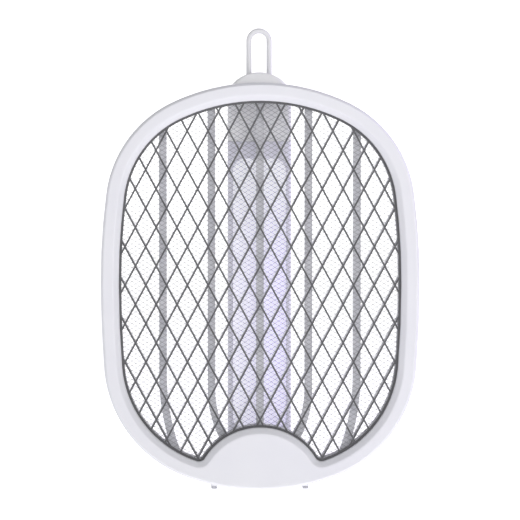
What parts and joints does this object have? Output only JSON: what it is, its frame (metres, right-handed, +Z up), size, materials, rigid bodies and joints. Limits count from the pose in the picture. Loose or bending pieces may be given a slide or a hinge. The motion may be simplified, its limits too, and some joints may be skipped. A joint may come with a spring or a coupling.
{
  "type": "electric fly swatter",
  "caption": "Electric fly swatter with an oval net head that folds on a friction hinge against a battery handle with a lamp lens, push button, mode switch and pull-out hanging loop.",
  "frame": {"origin": "on the standing surface, centred in width and depth of the folded swatter", "axes": "+X to the viewer's right as the front net is faced, +Y from the front net to the back of the handle, +Z up along the length to the hanging loop"},
  "size_m": [0.19, 0.0514, 0.276],
  "materials": {
    "shell_white": "smooth satin-gloss pearl white ABS",
    "net_grey": "dark grey powder-coated steel net",
    "grid_metal": "fine bright woven metal mesh",
    "rib_grey": "matte light grey ABS",
    "steel": "zinc-plated steel",
    "tab_brass": "stamped brass",
    "red_wire": "PVC insulation",
    "foot_rubber": "soft light grey rubber",
    "cap_grey": "satin light grey ABS",
    "grip_lavender": "satin lavender-white ABS",
    "lens_lavender": "milky lavender polycarbonate",
    "board_white": "white solder mask",
    "board_green": "green solder mask",
    "led_yellow": "clear resin over phosphor",
    "coil_yellow": "varnished winding and tape",
    "cap_brown": "dipped epoxy",
    "part_black": "moulded epoxy",
    "pad_grey": "silicone rubber",
    "clear": "clear acrylic",
    "cell_blue": "shrink sleeve",
    "ring_white": "paper fibre",
    "control_lilac": "satin lilac ABS",
    "loop_grey": "satin light grey nylon"
  },
  "bodies": {
    "head": {"head_front_shell": "shell_white", "head_rear_shell": "shell_white", "front_net": "net_grey", "rear_net": "net_grey", "high_voltage_grid": "grid_metal", "front_spacer_ring": "rib_grey", "rib_frame": "rib_grey", "head_screws": "steel", "net_terminals": "tab_brass", "head_leads": "red_wire", "foot_left": "foot_rubber", "foot_right": "foot_rubber", "hinge_pin": "steel", "hinge_cap_left": "cap_grey", "hinge_cap_right": "cap_grey"},
    "handle": {"hinge_knuckle": "grip_lavender", "friction_sleeve_left": "steel", "friction_sleeve_right": "steel", "knuckle_screws": "steel", "handle_front_shell": "grip_lavender", "handle_back_shell": "grip_lavender", "handle_screws": "steel", "end_cap": "cap_grey", "loop_grips": "pad_grey", "lamp_lens": "lens_lavender", "lamp_board": "board_white", "lamp_leds": "led_yellow", "main_board": "board_green", "booster_transformer": "coil_yellow", "booster_capacitors": "cap_brown", "booster_diodes": "part_black", "switching_transistor": "part_black", "control_board": "board_green", "tact_switch": "part_black", "slide_switch_case": "steel", "indicator_light": "clear", "charging_socket": "steel", "battery_cell": "cell_blue", "battery_end_rings": "ring_white", "battery_tabs": "steel", "battery_leads": "red_wire", "lamp_leads": "red_wire", "board_leads": "red_wire", "booster_leads": "red_wire"},
    "button": {"zap_button": "control_lilac", "button_pad": "pad_grey"},
    "switch": {"mode_knob": "control_lilac", "slide_switch_lever": "part_black"},
    "hanger": {"hanging_loop": "loop_grey"}
  },
  "joints": [
    {"name": "handle_fold", "type": "hinge", "parent": "head", "child": "handle", "pos_m": [0, 0.00285, 0.011], "axis": [-1, 0, 0], "range_deg": [0, 180]},
    {"name": "zap_press", "type": "slide", "parent": "handle", "child": "button", "axis": [0, -1, 0], "range_m": [0, 0.0012], "stiffness_N_per_m": 900, "springref_m": -0.0012},
    {"name": "mode_slide", "type": "slide", "parent": "handle", "child": "switch", "axis": [0, 0, 1], "range_m": [0, 0.006]},
    {"name": "loop_slide", "type": "slide", "parent": "handle", "child": "hanger", "axis": [0, 0, -1], "range_m": [0, 0.0185]}
  ]
}
